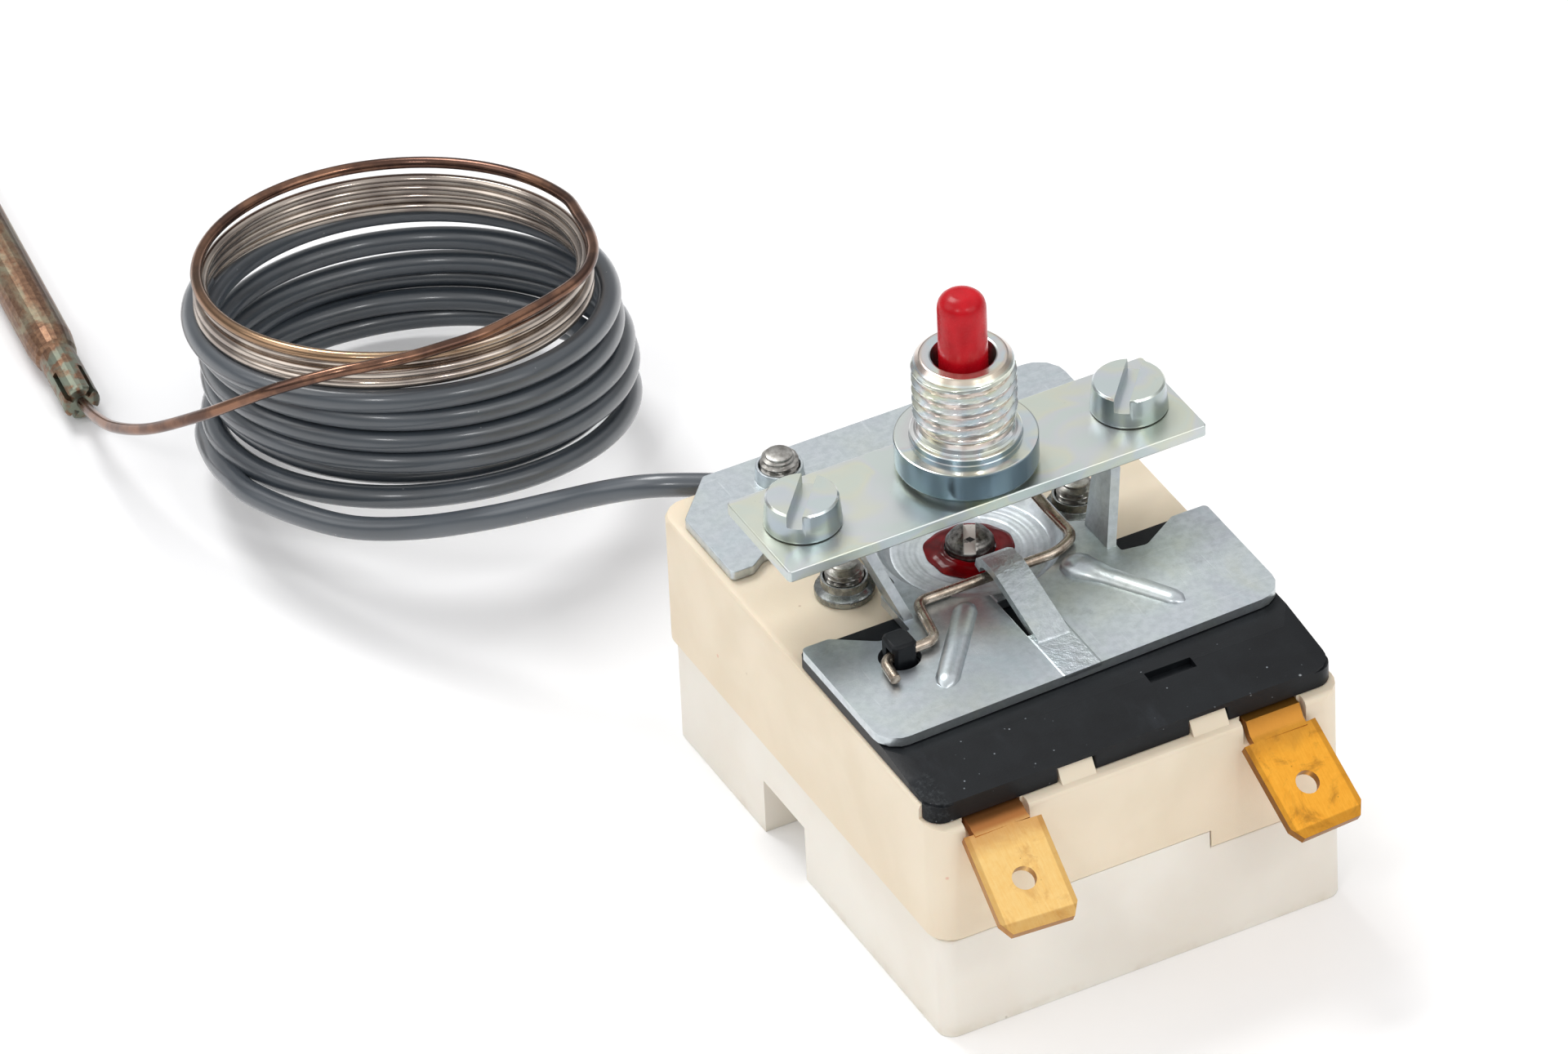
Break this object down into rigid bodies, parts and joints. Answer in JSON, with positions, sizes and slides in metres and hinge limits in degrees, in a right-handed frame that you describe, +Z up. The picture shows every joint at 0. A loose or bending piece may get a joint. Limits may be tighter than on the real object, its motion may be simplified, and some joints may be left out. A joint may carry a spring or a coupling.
{
  "type": "capillary thermostat",
  "caption": "Manual-reset capillary safety thermostat: ceramic and plastic block, threaded bushing with push button on a bridge plate, push-on tabs, coiled capillary and rod-shaped sensor bulb.",
  "frame": {"origin": "centre of the base's underside, straight below the threaded bushing", "axes": "+Z up along the bushing, +X along the bridge plate to the right, +Y towards the side the capillary leaves"},
  "size_m": [0.06, 0.1905, 0.0463],
  "materials": {
    "ceramic": "satin",
    "cream_moulding": "satin",
    "black_plastic": "satin",
    "zinc_sheet": "satin",
    "bright_zinc": "polished",
    "red_plastic": "gloss",
    "wire_steel": "satin",
    "steel": "satin",
    "lacquer": "gloss",
    "brass": "satin",
    "spring_bronze": "satin",
    "silver_contact": "satin",
    "capillary_metal": "satin",
    "sleeve_plastic": "satin",
    "bulb_copper": "satin"
  },
  "bodies": {
    "thermostat_body": {"lower_base": "ceramic", "upper_housing": "cream_moulding", "front_cover": "black_plastic", "front_plate": "zinc_sheet", "rear_plate": "zinc_sheet", "bridge_plate": "bright_zinc", "threaded_bushing": "bright_zinc", "calibration_screw": "steel", "sealing_lacquer": "lacquer", "mounting_screw_left": "bright_zinc", "mounting_screw_right": "bright_zinc", "housing_screw_mid_left": "steel", "housing_screw_mid_right": "steel", "housing_screw_rear_left": "steel", "housing_screw_rear_right": "steel", "eyelet_left": "steel", "eyelet_right": "steel", "terminal_left": "brass", "terminal_right": "brass", "spring_rivet": "brass", "fixed_contact": "silver_contact", "diaphragm_capsule": "capillary_metal", "capillary_feed": "capillary_metal", "sleeve_lead": "sleeve_plastic", "sleeve_coil": "sleeve_plastic", "capillary_coil": "capillary_metal", "capillary_tail": "bulb_copper", "sensor_bulb": "bulb_copper"},
    "reset_button": {"reset_button": "red_plastic"},
    "reset_lever": {"reset_lever": "wire_steel"},
    "reset_plunger": {"reset_plunger": "black_plastic"},
    "contact_spring": {"contact_spring": "spring_bronze", "moving_contact": "silver_contact", "thrust_pin": "ceramic"}
  },
  "joints": [
    {"name": "reset_button_slide", "type": "slide", "parent": "thermostat_body", "child": "reset_button", "axis": [0, 0, -1], "range_m": [0, 0.0012], "stiffness_N_per_m": 500},
    {"name": "reset_lever_hinge", "type": "hinge", "parent": "thermostat_body", "child": "reset_lever", "pos_m": [0, -0.0054, 0.0237], "axis": [-1, 0, 0], "range_deg": [0, 8.6]},
    {"name": "reset_plunger_slide", "type": "slide", "parent": "thermostat_body", "child": "reset_plunger", "axis": [0, 0, 1], "range_m": [0, 0.00071]},
    {"name": "contact_spring_hinge", "type": "hinge", "parent": "thermostat_body", "child": "contact_spring", "pos_m": [0.011, -0.0103, 0.01442], "axis": [0, -1, 0], "range_deg": [0, 2], "stiffness_Nm_per_rad": 0.02}
  ],
  "couplings": [
    {"joint": "reset_lever_hinge", "follows": "reset_button_slide", "rad_per_m": 125},
    {"joint": "reset_plunger_slide", "follows": "reset_button_slide", "ratio": 0.58}
  ]
}
